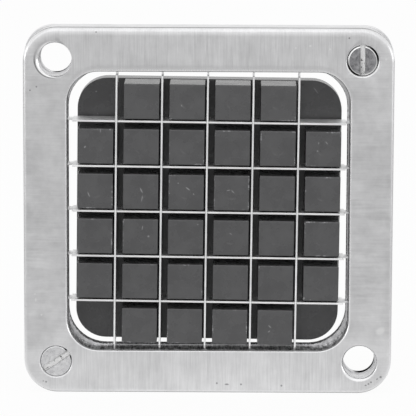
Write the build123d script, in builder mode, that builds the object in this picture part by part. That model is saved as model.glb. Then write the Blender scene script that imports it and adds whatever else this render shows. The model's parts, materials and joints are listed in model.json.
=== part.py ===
"""Cutting head of a lever-operated french fry cutter: blade frame and push block.

X runs to the right and Z up as the head is seen from its delivery side, and Y runs from
the delivery side back towards the ram.  The head is bolted to its machine by two studs,
and the origin lies midway between them, on the plane where the back of the frame meets
the machine.  All lengths are millimetres.
"""

from build123d import *

import os
from math import cos, radians, sin, tan

# The cut: half-inch sticks, six cells across and six up.
cut_pitch = 12.7
cells_across = 6

# Blades: upright and level ones, halved into each other.
blade_thickness = 0.5
blade_front_inset = 0.6
blade_rear_inset = 0.1
blade_bevel = 0.9
blade_edge_land = 0.06
tab_setback = 3.0
tab_shoulder_gap = 1.25
tab_seat = 4.5
blade_clearance = 0.05

# The blade grid sits a little off the middle of the opening and a little askew.
grid_shift_x = -0.53
grid_shift_z = -0.2
grid_turn = 0.56

# Blade frame: two rings clamped together on the blades' tabs.
opening_margin = 1.25
opening_corner_radius = 8.75
band_width = 12.25
frame_corner_radius = 9.4
front_ring_thickness = 7.0
rear_ring_thickness = 3.0
# The rear ring's opening is a little smaller and rounder, so its rim shows as a ledge
# at the right, at the bottom and in the corners.
rear_opening_inset = 0.25
rear_opening_corner_radius = 10.5
rear_opening_shift_x = -0.22
rear_opening_shift_z = 0.2
front_edge_round = 0.9
rear_edge_break = 0.4
seam_break = 0.15

# Corner holes: two for the machine's studs, two for the clamping screws.
hole_edge_distance = 8.9
stud_hole_radius = 4.4
stud_lead_in = 0.3
hole_lip = 0.5

# Clamping screws, slotted cheese heads.
screw_radius = 2.5
screw_thread_allowance = 0.03
screw_hole_clearance = 0.25
screw_head_radius = 4.2
screw_head_height = 3.3
screw_head_inset = 0.2
screw_head_edge = 0.45
screw_recess_clearance = 0.4
screw_slot_width = 1.6
screw_slot_depth = 1.3
screw_end_inset = 0.2
upper_slot_angle = 90.0
lower_slot_angle = 34.0

# Push block: a plate with one finger for each cell but the four corner ones.
# Its fingers lie to the right and low in the cells, by the gaps that they leave to the
# blades, and its plate reaches a little further left and down than the fingers do.
finger_gap = 2.85
finger_length = 11.6
finger_draft = 0.4
finger_corner_break = 0.25
finger_tip_edge = 0.25
block_plate_thickness = 6.3
block_plate_margin = 0.3
block_plate_shift_x = -0.15
block_plate_shift_z = -0.3
block_corner_radius = 8.5
block_edge_break = 0.4
block_gap_right = 0.45
block_gap_below = 0.36

# Threaded inserts for the ram's screws, moulded into the back of the push block.
insert_radius = 3.5
insert_bore_radius = 2.1
insert_length = 8.0
insert_pitches_apart = 3
insert_clearance = 0.03

opening_side = cells_across * cut_pitch + 2 * opening_margin
rear_opening_side = opening_side - 2 * rear_opening_inset
frame_side = opening_side + 2 * band_width
frame_thickness = front_ring_thickness + rear_ring_thickness
plate_front = blade_front_inset + finger_length
head_depth = plate_front + block_plate_thickness


def facing(depth, x=0.0, z=0.0, turn=0.0):
    """A plane that faces the delivery side, at a depth behind the frame's front face.

    x and z place it from the middle of the frame, and turn rolls it clockwise in degrees.
    """
    roll = radians(turn)
    return Plane(
        origin=(x, depth - frame_thickness, z),
        x_dir=(cos(roll), 0, -sin(roll)),
        z_dir=(0, -1, 0),
    )


def grid_facing(depth, x=0.0, z=0.0):
    """A plane like facing(), placed and rolled with the blade grid."""
    roll = radians(grid_turn)
    return facing(
        depth,
        grid_shift_x + x * cos(roll) + z * sin(roll),
        grid_shift_z + z * cos(roll) - x * sin(roll),
        grid_turn,
    )


def finish(piece, name):
    """Labels a finished piece and writes it under its name."""
    piece.part.label = name
    export_step(piece.part, f"parts/{name}.step")


os.makedirs("parts", exist_ok=True)

hole_offset = frame_side / 2 - hole_edge_distance
stud_corners = [(-hole_offset, hole_offset), (hole_offset, -hole_offset)]
screw_corners = [(hole_offset, hole_offset), (-hole_offset, -hole_offset)]
screw_seat_depth = screw_head_inset + screw_head_height

blade_rear = frame_thickness - blade_rear_inset
blade_middle = (blade_front_inset + blade_rear) / 2
tab_front = blade_front_inset + tab_setback
body_half = opening_side / 2 - tab_shoulder_gap
blade_half = opening_side / 2 + tab_seat
slot_width = blade_thickness + 2 * blade_clearance
slot_length = 2 * (blade_half + blade_clearance)
blade_offsets = [(n - cells_across / 2) * cut_pitch for n in range(1, cells_across)]
opening_in_grid = grid_facing(0).to_local_coords(facing(0).origin)

# Front ring: rounded front edges, blade slots from its back, lipped holes.
with BuildPart() as front_ring:
    with BuildSketch(facing(front_ring_thickness)):
        RectangleRounded(frame_side, frame_side, frame_corner_radius)
        RectangleRounded(
            opening_side, opening_side, opening_corner_radius, mode=Mode.SUBTRACT
        )
    extrude(amount=front_ring_thickness)
    fillet(front_ring.faces().sort_by(Axis.Y)[0].edges(), front_edge_round)
    chamfer(front_ring.faces().sort_by(Axis.Y)[-1].edges(), seam_break)
    with BuildSketch(grid_facing(front_ring_thickness)):
        for offset in blade_offsets:
            with Locations((offset, opening_in_grid.Y)):
                Rectangle(slot_width, slot_length)
            with Locations((opening_in_grid.X, offset)):
                Rectangle(slot_length, slot_width)
    extrude(amount=front_ring_thickness - tab_front + blade_clearance, mode=Mode.SUBTRACT)
    with Locations(facing(0)):
        with Locations(*stud_corners):
            Hole(stud_hole_radius + stud_lead_in)
        with Locations(*screw_corners):
            CounterBoreHole(
                radius=screw_radius + screw_hole_clearance,
                counter_bore_radius=screw_head_radius + screw_recess_clearance,
                counter_bore_depth=screw_seat_depth,
            )
    rims = front_ring.faces().sort_by(Axis.Y)[0].inner_wires().sort_by(SortBy.LENGTH)
    chamfer(rims[: len(stud_corners + screw_corners)].edges(), hole_lip)
finish(front_ring, "front_ring")

# Rear ring: closes the blade slots, tapped for the screws, seats on the machine.
with BuildPart() as rear_ring:
    with BuildSketch(facing(frame_thickness)):
        RectangleRounded(frame_side, frame_side, frame_corner_radius)
        with Locations((rear_opening_shift_x, rear_opening_shift_z)):
            RectangleRounded(
                rear_opening_side, rear_opening_side, rear_opening_corner_radius,
                mode=Mode.SUBTRACT,
            )
    extrude(amount=rear_ring_thickness)
    chamfer(rear_ring.faces().sort_by(Axis.Y)[0].edges(), seam_break)
    chamfer(rear_ring.faces().sort_by(Axis.Y)[-1].edges(), rear_edge_break)
    with Locations(facing(front_ring_thickness)):
        with Locations(*stud_corners):
            Hole(stud_hole_radius)
        with Locations(*screw_corners):
            Hole(screw_radius + screw_thread_allowance)
finish(rear_ring, "rear_ring")


def make_blade(name, upright, offset):
    """One blade, sharpened on the ram's side and notched where the others cross it."""
    grid = grid_facing(0)
    if upright:
        along, across = grid.y_dir, grid.x_dir
        origin = grid_facing(0, x=offset).origin
        body_centre = opening_in_grid.Y
        notch_near, notch_far = blade_middle - blade_clearance, frame_thickness
    else:
        along, across = grid.x_dir, -grid.y_dir
        origin = grid_facing(0, z=offset).origin
        body_centre = opening_in_grid.X
        notch_near, notch_far = 0.0, blade_middle + blade_clearance
    blade_end = origin + along * (body_centre - blade_half)
    tab_length = blade_half - body_half
    with BuildPart() as blade:
        with BuildSketch(Plane(origin=blade_end, x_dir=across, z_dir=along)):
            Polygon(
                (-blade_thickness / 2, blade_front_inset),
                (blade_thickness / 2, blade_front_inset),
                (blade_thickness / 2, blade_rear - blade_bevel),
                (blade_edge_land / 2, blade_rear),
                (-blade_edge_land / 2, blade_rear),
                (-blade_thickness / 2, blade_rear - blade_bevel),
                align=None,
            )
        extrude(amount=2 * blade_half)
        with BuildSketch(Plane(origin=origin, x_dir=along, z_dir=-across)):
            for side in (-1, 1):
                tab_centre = body_centre + side * (body_half + tab_length / 2)
                with Locations((tab_centre, tab_front / 2)):
                    Rectangle(tab_length, tab_front)
                with Locations((tab_centre, front_ring_thickness + rear_ring_thickness / 2)):
                    Rectangle(tab_length, rear_ring_thickness)
            for crossing in blade_offsets:
                with Locations((crossing, (notch_near + notch_far) / 2)):
                    Rectangle(slot_width, notch_far - notch_near)
        extrude(amount=blade_thickness, both=True, mode=Mode.SUBTRACT)
    finish(blade, name)


for number, blade_offset in enumerate(blade_offsets, start=1):
    make_blade(f"upright_blade_{number}", True, blade_offset)
    make_blade(f"level_blade_{number}", False, blade_offset)


def make_screw(name, corner, slot_angle):
    """One clamping screw: slotted head in its recess, threaded into the rear ring."""
    x, z = corner
    with BuildPart() as screw:
        with BuildSketch(facing(screw_seat_depth, x, z)):
            Circle(screw_head_radius)
        extrude(amount=screw_head_height)
        chamfer(screw.faces().sort_by(Axis.Y)[0].edges(), screw_head_edge)
        with BuildSketch(facing(screw_head_inset, x, z, -slot_angle)):
            Rectangle(2 * screw_head_radius, screw_slot_width)
        extrude(amount=-screw_slot_depth, mode=Mode.SUBTRACT)
        with BuildSketch(facing(frame_thickness - screw_end_inset, x, z)):
            Circle(screw_radius)
        extrude(amount=frame_thickness - screw_end_inset - screw_seat_depth)
    finish(screw, name)


make_screw("upper_frame_screw", screw_corners[0], upper_slot_angle)
make_screw("lower_frame_screw", screw_corners[1], lower_slot_angle)

# Push block: plate, drafted fingers, sockets for the inserts.
finger_root_side = cut_pitch - finger_gap + 2 * finger_length * tan(radians(finger_draft))
cell_clearance = (cut_pitch - blade_thickness - finger_root_side) / 2
block_x = cell_clearance - block_gap_right
block_z = block_gap_below - cell_clearance
plate_side = (cells_across - 1) * cut_pitch + finger_root_side + 2 * block_plate_margin
plate_x = block_x + block_plate_shift_x
plate_z = block_z + block_plate_shift_z
corner_rows = (0, cells_across - 1)
finger_places = [
    ((column - corner_rows[1] / 2) * cut_pitch, (row - corner_rows[1] / 2) * cut_pitch)
    for column in range(cells_across)
    for row in range(cells_across)
    if not (column in corner_rows and row in corner_rows)
]
insert_offset = insert_pitches_apart * cut_pitch / 2
insert_places = [
    (x, z) for z in (insert_offset, -insert_offset) for x in (-insert_offset, insert_offset)
]

with BuildPart() as push_block:
    with BuildSketch(grid_facing(head_depth, plate_x, plate_z)):
        RectangleRounded(plate_side, plate_side, block_corner_radius)
    extrude(amount=block_plate_thickness)
    chamfer(push_block.faces().sort_by(Axis.Y)[-1].edges(), block_edge_break)
    with BuildSketch(grid_facing(plate_front, block_x, block_z)) as finger_roots:
        with Locations(*finger_places):
            Rectangle(finger_root_side, finger_root_side)
        chamfer(finger_roots.vertices(), finger_corner_break)
    extrude(amount=finger_length, taper=finger_draft)
    chamfer(push_block.faces().group_by(Axis.Y)[0].edges(), finger_tip_edge)
    with BuildSketch(grid_facing(head_depth, block_x, block_z)):
        with Locations(*insert_places):
            Circle(insert_radius + insert_clearance)
    extrude(amount=insert_length, mode=Mode.SUBTRACT)
finish(push_block, "push_block")

for number, (x, z) in enumerate(insert_places, start=1):
    with BuildPart() as insert:
        with BuildSketch(grid_facing(head_depth, block_x + x, block_z + z)):
            Circle(insert_radius)
            Circle(insert_bore_radius, mode=Mode.SUBTRACT)
        extrude(amount=insert_length)
    finish(insert, f"block_insert_{number}")
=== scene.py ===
"""Looks of a french fry cutter's cutting head: clamped blade frame and push block.

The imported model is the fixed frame, and every piece made here takes its place and size
from it.  Pieces are worked in millimetres: X to the right, Y as the depth behind the
frame's front face, Z up, all from the middle of the frame.
"""

import json
import logging
import math
from collections.abc import Callable, Hashable, Iterable
from dataclasses import dataclass, field
from enum import Enum

import bmesh
import bpy
from mathutils import Matrix, Vector


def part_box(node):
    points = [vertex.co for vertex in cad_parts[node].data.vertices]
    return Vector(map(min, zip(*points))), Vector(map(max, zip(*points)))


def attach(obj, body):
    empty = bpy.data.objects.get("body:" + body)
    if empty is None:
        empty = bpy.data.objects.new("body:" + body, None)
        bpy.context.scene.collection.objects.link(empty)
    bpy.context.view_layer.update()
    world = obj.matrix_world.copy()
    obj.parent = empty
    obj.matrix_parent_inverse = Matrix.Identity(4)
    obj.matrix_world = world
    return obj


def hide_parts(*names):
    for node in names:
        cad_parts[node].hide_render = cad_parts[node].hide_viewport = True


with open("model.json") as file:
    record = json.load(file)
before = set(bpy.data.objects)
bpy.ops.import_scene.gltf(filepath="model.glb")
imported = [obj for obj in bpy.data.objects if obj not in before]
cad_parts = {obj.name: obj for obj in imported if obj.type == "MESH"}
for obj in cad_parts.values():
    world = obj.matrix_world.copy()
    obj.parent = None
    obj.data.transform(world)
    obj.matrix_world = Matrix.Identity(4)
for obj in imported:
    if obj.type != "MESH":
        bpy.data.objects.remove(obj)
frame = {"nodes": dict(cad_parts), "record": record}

log = logging.getLogger("cutting_head")

MM = 0.001

# Millimetres within which two points are one, and within which a point lies in a plane.
TOUCH = 1e-4
LEVEL = 1e-3

# Point layers that say how far a place is brightened, as rubbed wear and as painted highlight,
# and how dark it is with painted shade.
WEAR_AND_HIGHLIGHT = "polish"
PAINTED_SHADE = "painted_shade"

# Painted shade in creases, gaps and holes: black and without any gloss.
SHADE_BLACK = "#101011"
SHADE_GLOSS = 0.0

# Levels between which nearly all of a noise pattern lies, and the share of a small
# mark's width over which it keeps its full strength.
NOISE_LOW, NOISE_HIGH = 0.3, 0.7
MARK_CORE = 0.4

Reach = float | Callable[[Vector], float]
Colour = tuple[float, float, float, float]


class Body(Enum):
    """The bodies that pieces ride on."""

    FRAME = "blade_frame"
    BLOCK = "push_block"


def at(reach: Reach, way: Vector) -> float:
    """A reach in one direction."""
    return reach(way) if callable(reach) else reach


def scaled(reach: Reach, share: float) -> Reach:
    """A reach times a share."""
    return lambda way: at(reach, way) * share


def unique(items: Iterable[Hashable]) -> list[Hashable]:
    """The items in their order, each of them once."""
    return list(dict.fromkeys(items))


def add_object(name: str, data: bpy.types.ID) -> bpy.types.Object:
    """Adds an object to the scene.

    Args:
        name: Its name.
        data: Its mesh, lamp or camera.

    Returns:
        The object.
    """
    added = bpy.data.objects.new(name, data)
    bpy.context.scene.collection.objects.link(added)
    return added


# ---------------------------------------------------------------- measures of the frame


@dataclass(frozen=True)
class Measures:
    """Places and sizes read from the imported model, in millimetres."""

    frame_half: float
    front_y: float
    seam_depth: float
    rear_depth: float
    hole_offset: float
    stud_radius: float
    insert_offset: float
    insert_bore: float
    grid_x: float
    grid_z: float
    grid_turn: float
    cut_pitch: float
    blade_count: int
    blade_thickness: float
    tab_seat_length: float
    plate_rear_depth: float
    fingertip_depth: float
    plate_low: Vector
    plate_high: Vector
    block_x: float
    block_z: float

    @classmethod
    def of_frame(cls) -> "Measures":
        """Reads the measures off the nodes' boxes and the record's mounts.

        Returns:
            The measures.
        """
        ring_low, ring_high = (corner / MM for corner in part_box("front_ring"))
        rear_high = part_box("rear_ring")[1] / MM
        block_low, block_high = (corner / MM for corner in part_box("push_block"))
        mounts = {mount["name"]: mount for mount in frame["record"]["mounts"]}
        studs, inserts = mounts["stud_holes"]["dims"], mounts["ram_inserts"]["dims"]
        block_place = Vector(mounts["ram_inserts"]["pos_m"]) / MM

        blade_count = sum(name.startswith("upright_blade") for name in frame["nodes"])
        middle = blade_count // 2 + 1
        upright = cls._middle(f"upright_blade_{middle}")
        level = cls._middle(f"level_blade_{middle}")
        first = cls._middle("upright_blade_1")
        last = cls._middle(f"upright_blade_{blade_count}")
        pitch = (last - first).xz.length / (blade_count - 1)
        blade_low, blade_high = (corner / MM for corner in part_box(f"level_blade_{middle}"))
        turn = math.asin((first.z - last.z) / ((blade_count - 1) * pitch))
        length = (blade_high.x - blade_low.x) / math.cos(turn)
        thickness = (blade_high.z - blade_low.z - length * math.sin(turn)) / math.cos(turn)
        return cls(
            frame_half=ring_high.x,
            front_y=ring_low.y,
            seam_depth=ring_high.y - ring_low.y,
            rear_depth=rear_high.y - ring_low.y,
            hole_offset=studs["pcd_mm"] / 2 / math.sqrt(2),
            stud_radius=studs["hole_r_mm"],
            insert_offset=inserts["pcd_mm"] / 2 / math.sqrt(2),
            insert_bore=inserts["hole_r_mm"],
            grid_x=upright.x,
            grid_z=level.z,
            grid_turn=turn,
            cut_pitch=pitch,
            blade_count=blade_count,
            blade_thickness=thickness,
            tab_seat_length=length / 2,
            plate_rear_depth=block_high.y - ring_low.y,
            fingertip_depth=block_low.y - ring_low.y,
            plate_low=block_low,
            plate_high=block_high,
            block_x=block_place.x,
            block_z=block_place.z,
        )

    @staticmethod
    def _middle(node: str) -> Vector:
        """The middle of a node's box."""
        low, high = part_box(node)
        return (low + high) / 2 / MM

    def blade_offsets(self) -> list[float]:
        """Offsets of the blades from the grid's middle, in grid directions."""
        return [
            (number - (self.blade_count - 1) / 2) * self.cut_pitch
            for number in range(self.blade_count)
        ]

    def square_placing(self) -> Matrix:
        """From frame-square millimetres and depth to the frame's metres."""
        return Matrix.Scale(MM, 4) @ Matrix.Translation((0.0, self.front_y, 0.0))

    def block_placing(self) -> Matrix:
        """From the push block's own millimetres and depth to the frame's metres."""
        return (
            Matrix.Scale(MM, 4)
            @ Matrix.Translation((self.block_x, self.front_y, self.block_z))
            @ Matrix.Rotation(self.grid_turn, 4, "Y")
        )


# ------------------------------------------------------------------------ mesh workshop


@dataclass
class Contour:
    """A closed loop of edges round a square core; a core of nought makes it a circle."""

    edges: list[bmesh.types.BMEdge]
    x: float = 0.0
    z: float = 0.0
    core: float = 0.0

    def verts(self) -> set[bmesh.types.BMVert]:
        """The loop's points."""
        return {vert for edge in self.edges for vert in edge.verts}

    def outward(self, place: Vector) -> Vector:
        """The direction, in the loop's plane, that leads away from the core.

        Args:
            place: A point on the loop.

        Returns:
            A unit vector with no depth.
        """
        x, z = place.x - self.x, place.z - self.z
        nearest_x = max(-self.core, min(self.core, x))
        nearest_z = max(-self.core, min(self.core, z))
        return Vector((x - nearest_x, 0.0, z - nearest_z)).normalized()


class Workpiece:
    """A closed mesh that grows contour by contour from its flat outlines.

    Attributes:
        mesh: The mesh.
        polish: Point layer that says how far a place is brightened: rubbed or chipped wear, and
            on metal edges a painted highlight as well.
        painted_shade: Point layer that says how dark a place is with painted shade.
        skin: Number of the material that new faces get.
    """

    def __init__(self) -> None:
        """Starts with an empty mesh."""
        self.mesh = bmesh.new()
        layers = self.mesh.verts.layers.float
        for name in (WEAR_AND_HIGHLIGHT, PAINTED_SHADE):
            layers.new(name)
        self.polish, self.painted_shade = layers[WEAR_AND_HIGHLIGHT], layers[PAINTED_SHADE]
        self.skin = 0

    def circle(self, radius: float, depth: float, x: float = 0.0, z: float = 0.0,
               points: int = 64) -> Contour:
        """Draws a circle as a contour.

        Args:
            radius: Its radius.
            depth: Depth of its plane.
            x: Its middle across.
            z: Its middle up.
            points: How many points it has.

        Returns:
            The contour.
        """
        made = bmesh.ops.create_circle(
            self.mesh, cap_ends=False, segments=points, radius=radius,
            matrix=Matrix.Translation((x, depth, z)) @ Matrix.Rotation(math.pi / 2, 4, "X"),
        )
        edges = unique(edge for vert in made["verts"] for edge in vert.link_edges)
        return Contour(edges, x, z)

    def rounded_square(self, half_x: float, half_z: float, radius: float, depth: float,
                       x: float = 0.0, z: float = 0.0, steps: int = 8,
                       cuts: Iterable[tuple[Vector, Vector]] = ()) -> Contour:
        """Draws a square with rounded corners as a contour.

        Args:
            half_x: Half its width.
            half_z: Half its height.
            radius: Radius of its corners.
            depth: Depth of its plane.
            x: Its middle across.
            z: Its middle up.
            steps: Steps of each corner's arc.
            cuts: Planes, as a place and a normal, where its sides get more points.

        Returns:
            The contour.
        """
        made = bmesh.ops.create_grid(
            self.mesh, x_segments=1, y_segments=1, size=1.0,
            matrix=Matrix.Translation((x, depth, z))
            @ Matrix.Diagonal((half_x, 1.0, half_z, 1.0))
            @ Matrix.Rotation(math.pi / 2, 4, "X"),
        )
        face = made["verts"][0].link_faces[0]
        bmesh.ops.bevel(
            self.mesh, geom=made["verts"], offset=radius, offset_type="OFFSET",
            segments=steps, profile=0.5, affect="VERTICES", material=-1,
        )
        faces = [face if face.is_valid else self.mesh.faces[:][-1]]
        for place, normal in cuts:
            geometry = [
                *faces,
                *unique(edge for face in faces for edge in face.edges),
                *unique(vert for face in faces for vert in face.verts),
            ]
            cut = bmesh.ops.bisect_plane(
                self.mesh, geom=geometry, dist=TOUCH, plane_co=place, plane_no=normal
            )
            faces = unique(
                item for item in cut["geom"] if isinstance(item, bmesh.types.BMFace)
            )
        edges = unique(edge for face in faces for edge in face.edges)
        rim = [edge for edge in edges if edge.is_boundary]
        inner = [edge for edge in edges if not edge.is_boundary]
        bmesh.ops.delete(self.mesh, geom=faces, context="FACES_ONLY")
        bmesh.ops.delete(self.mesh, geom=inner, context="EDGES")
        return Contour(rim, x, z, min(half_x, half_z) - radius)

    def push(self, contour: Contour, reach: Reach = 0.0, deeper: Reach = 0.0) -> None:
        """Moves a contour outwards and back.

        Args:
            contour: The contour.
            reach: How far outwards, the same all round or worked out from the direction.
            deeper: How far back, likewise.
        """
        for vert in contour.verts():
            way = contour.outward(vert.co)
            vert.co += way * at(reach, way)
            vert.co.y += at(deeper, way)

    def grow(self, contour: Contour, reach: Reach = 0.0, deeper: Reach = 0.0) -> Contour:
        """Draws a wall from a contour to a new one.

        Args:
            contour: The contour to start from.
            reach: How far outwards the new one lies.
            deeper: How far behind it lies.

        Returns:
            The new contour.
        """
        made = bmesh.ops.extrude_edge_only(self.mesh, edges=contour.edges)["geom"]
        verts = {item for item in made if isinstance(item, bmesh.types.BMVert)}
        for face in (item for item in made if isinstance(item, bmesh.types.BMFace)):
            face.material_index = self.skin
        edges = [
            item for item in made
            if isinstance(item, bmesh.types.BMEdge) and verts.issuperset(item.verts)
        ]
        grown = Contour(edges, contour.x, contour.z, contour.core)
        for layer in (self.polish, self.painted_shade):
            self.mark(grown, layer, 0.0)
        self.push(grown, reach, deeper)
        return grown

    def mark(self, contour: Contour, layer: bmesh.types.BMLayerItem, share: Reach) -> None:
        """Notes how far a contour is brightened, as wear and painted highlight, or darkened with
        painted shade.

        Args:
            contour: The contour.
            layer: The polish or the painted_shade layer.
            share: From nought to one, the same all round or worked out from the direction.
        """
        for vert in contour.verts():
            vert[layer] = at(share, contour.outward(vert.co))

    def round_over(self, contour: Contour, reach: Reach, drop: Reach, sweep: float = 50.0,
                   steps: int = 6, shine: Reach = 1.0, painted_shade: Reach = 0.0) -> Contour:
        """Draws a rounding that starts level with the flat face inside or outside it.

        Args:
            contour: The flat face's rim.
            reach: How far outwards the whole rounding goes; less than nought is inwards.
            drop: How far back it goes.
            sweep: Degrees of the arc; under 90 it meets the wall at a crease.
            steps: Steps of the arc.
            shine: How bright its far end is made, as rubbed wear and painted highlight.
            painted_shade: How dark the painted shade at its far end is; its first half has none.

        Returns:
            The contour at the rounding's end.
        """
        end = math.radians(sweep)
        for step in range(steps):
            near, far = end * step / steps, end * (step + 1) / steps
            contour = self.grow(
                contour,
                scaled(reach, (math.sin(far) - math.sin(near)) / math.sin(end)),
                scaled(drop, (math.cos(near) - math.cos(far)) / (1 - math.cos(end))),
            )
            # The rounding is brightened towards its far end, as wear and painted highlight;
            # painted shade darkens its far half.
            part = (step + 1) / steps
            self.mark(contour, self.polish, scaled(shine, part))
            self.mark(contour, self.painted_shade, scaled(painted_shade, max(0.0, 2 * part - 1)))
        return contour

    def round_in(self, contour: Contour, radius: float, steps: int, side: int = 1,
                 shine: float = 0.0) -> Contour:
        """Draws a quarter round that starts in line with the wall before it.

        Args:
            contour: The wall's end.
            radius: The rounding's radius.
            steps: Steps of the arc.
            side: 1 for a wall that leads back, -1 for one that leads to the front.
            shine: How sharp, and so how easily worn, the rounding is.

        Returns:
            The contour at the rounding's end, where a flat face can start.
        """
        for step in range(steps):
            near, far = math.pi / 2 / steps * step, math.pi / 2 / steps * (step + 1)
            contour = self.grow(
                contour, -radius * (math.cos(near) - math.cos(far)),
                side * radius * (math.sin(far) - math.sin(near)),
            )
            self.mark(contour, self.polish, shine)
        return contour

    def settle(self, contour: Contour, x: float, z: float, radius: float,
               share: float = 1.0, deeper: float = 0.0) -> Contour:
        """Draws a wall that leads towards a circle.

        Args:
            contour: The contour to start from.
            x: The circle's middle across.
            z: Its middle up.
            radius: Its radius.
            share: How much of the way the wall goes.
            deeper: How far back it goes.

        Returns:
            The new contour, which is the circle where the wall goes the whole way.
        """
        ring = self.grow(contour, 0.0, deeper)
        for vert in ring.verts():
            way = Vector((vert.co.x - ring.x, 0.0, vert.co.z - ring.z)).normalized()
            vert.co.x += (x + way.x * radius - vert.co.x) * share
            vert.co.z += (z + way.z * radius - vert.co.z) * share
        ring.x += (x - ring.x) * share
        ring.z += (z - ring.z) * share
        ring.core = 0.0
        return ring

    def funnel(self, rim: Contour, x: float, z: float, radius: float, drop: float,
               line: Reach, sweep: float = 50.0, steps: int = 4) -> Contour:
        """Draws a rounded lip from a circle on the flat face down to a bore.

        Args:
            rim: The circle on the flat face, which needn't share the bore's middle.
            x: The bore's middle across.
            z: Its middle up.
            radius: Its radius.
            drop: How far back the lip goes.
            line: How dark the painted shade just inside the rim is.
            sweep: Degrees of the lip's arc.
            steps: Steps of the arc.

        Returns:
            The contour at the bore's mouth.
        """
        end = math.radians(sweep)
        gone = 0.0
        for step in range(steps):
            near, far = end * step / steps, end * (step + 1) / steps
            reached = math.sin(far) / math.sin(end)
            fall = drop * (math.cos(near) - math.cos(far)) / (1 - math.cos(end))
            rim = self.settle(rim, x, z, radius, (reached - gone) / (1 - gone), fall)
            # The lip is brightened as wear and painted highlight, and a line of painted shade
            # lies just inside its rim.
            self.mark(rim, self.polish, (step + 1) / steps)
            if step == 0:
                self.mark(rim, self.painted_shade, line)
            gone = reached
        return rim

    def fill(self, *contours: Contour) -> None:
        """Fills the flat face between contours that lie in one plane."""
        edges = [edge for contour in contours for edge in contour.edges]
        self.fill_edges(edges)

    def fill_edges(self, edges: list[bmesh.types.BMEdge]) -> None:
        """Fills the flat face that closed loops of edges bound.

        The face's side is stated, because Blender would pick it anew in each run and the
        walls that grow from it would follow.

        Args:
            edges: The loops' edges.
        """
        made = bmesh.ops.triangle_fill(
            self.mesh, use_beauty=True, use_dissolve=False, edges=edges, normal=(0, -1, 0)
        )["geom"]
        for face in (item for item in made if isinstance(item, bmesh.types.BMFace)):
            face.material_index = self.skin

    def spin(self, profile: list[tuple[float, float]], steps: int = 64) -> None:
        """Turns a closed profile round the depth axis.

        Args:
            profile: Its corners, as radius and depth.
            steps: Steps of the full turn.
        """
        verts = [self.mesh.verts.new((radius, depth, 0.0)) for radius, depth in profile]
        edges = [
            self.mesh.edges.new((vert, verts[(number + 1) % len(verts)]))
            for number, vert in enumerate(verts)
        ]
        bmesh.ops.spin(
            self.mesh, geom=verts + edges, cent=(0, 0, 0), axis=(0, 1, 0), dvec=(0, 0, 0),
            angle=2 * math.pi, steps=steps, use_merge=True,
        )

    def finish(self, name: str, placing: Matrix, body: Body, slot: str,
               skins: Iterable[bpy.types.Material], replaced: str | None = None,
               crease: float = 24.0) -> bpy.types.Object:
        """Closes the mesh and hands it over as a piece of the object.

        Args:
            name: The piece's name.
            placing: From the piece's millimetres to the frame's metres.
            body: The body that it rides on.
            slot: The record's material slot; not used.
            skins: Its materials, in the order of the skins' numbers.
            replaced: The CAD node that it stands for.
            crease: Degrees from which an edge is a crease, not part of a rounding.

        Returns:
            The new object.
        """
        bmesh.ops.remove_doubles(self.mesh, verts=self.mesh.verts, dist=TOUCH)
        bmesh.ops.transform(self.mesh, matrix=placing, verts=self.mesh.verts)
        bmesh.ops.recalc_face_normals(self.mesh, faces=self.mesh.faces)
        data = bpy.data.meshes.new(name)
        open_edges = sum(not edge.is_manifold for edge in self.mesh.edges)
        self.mesh.to_mesh(data)
        self.mesh.free()
        data.shade_smooth()
        data.set_sharp_from_angle(angle=math.radians(crease))
        for skin in skins:
            data.materials.append(skin)
        piece = add_object(name, data)
        weighted = piece.modifiers.new("flat_faces_stay_flat", "WEIGHTED_NORMAL")
        weighted.keep_sharp = True
        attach(piece, body.value)
        if replaced:
            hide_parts(replaced)
        log.info("%s: %d faces, %d open edges", name, len(data.polygons), open_edges)
        return piece


def nearness(way: Vector, bearings: Iterable[float], reach: float,
             fullness: float = 1.0) -> float:
    """Tells how near a direction is to the nearest of some bearings.

    Args:
        way: The direction, seen from the front.
        bearings: Degrees from X towards Z.
        reach: Degrees from a bearing at which it counts as nought.
        fullness: How many times as fast as evenly it rises to one.

    Returns:
        One at a bearing, falling to nought.
    """
    angle = math.degrees(math.atan2(way.z, way.x))
    away = min(abs((angle - bearing + 180.0) % 360.0 - 180.0) for bearing in bearings)
    return min(1.0, fullness * max(0.0, 1.0 - away / reach))


# ----------------------------------------------------------------------------- finishes


def linear(hex_colour: str) -> Colour:
    """Turns an sRGB hex colour to the linear one that shaders take.

    Args:
        hex_colour: Six hex digits after a hash.

    Returns:
        Linear red, green and blue, and an alpha of one.
    """
    parts = [int(hex_colour[start:start + 2], 16) / 255 for start in (1, 3, 5)]
    red, green, blue = (
        part / 12.92 if part <= 0.04045 else ((part + 0.055) / 1.055) ** 2.4
        for part in parts
    )
    return red, green, blue, 1.0


def add_node(tree: bpy.types.NodeTree, kind: str, inputs: dict[str | int, object] | None = None,
             **settings: object) -> bpy.types.Node:
    """Adds a node with its settings, values and links.

    Args:
        tree: The node tree.
        kind: The node's type.
        inputs: Values by input name or number; a socket, or a node's first output, is
            linked instead.
        **settings: The node's own properties.

    Returns:
        The node.
    """
    node = tree.nodes.new(kind)
    for name, value in settings.items():
        setattr(node, name, value)
    for name, value in (inputs or {}).items():
        if isinstance(value, bpy.types.Node):
            value = next(output for output in value.outputs if output.enabled)
        if isinstance(value, bpy.types.NodeSocket):
            tree.links.new(value, node.inputs[name])
        else:
            node.inputs[name].default_value = value
    return node


def empty_tree(owner: bpy.types.Material | bpy.types.World) -> bpy.types.NodeTree:
    """Turns on the nodes of a material or a world and clears them away.

    Args:
        owner: The material or the world.

    Returns:
        Its node tree, without nodes.
    """
    owner.use_nodes = True
    owner.node_tree.nodes.clear()
    return owner.node_tree


@dataclass(frozen=True)
class Mark:
    """A small oval mark on a flat face, in millimetres, as seen from the front.

    Attributes:
        x: Its middle across.
        z: Its middle up.
        length: Half its length.
        width: Half its width.
        turn: Degrees from X towards Z.
    """

    x: float
    z: float
    length: float = 0.36
    width: float = 0.36
    turn: float = 0.0


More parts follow.
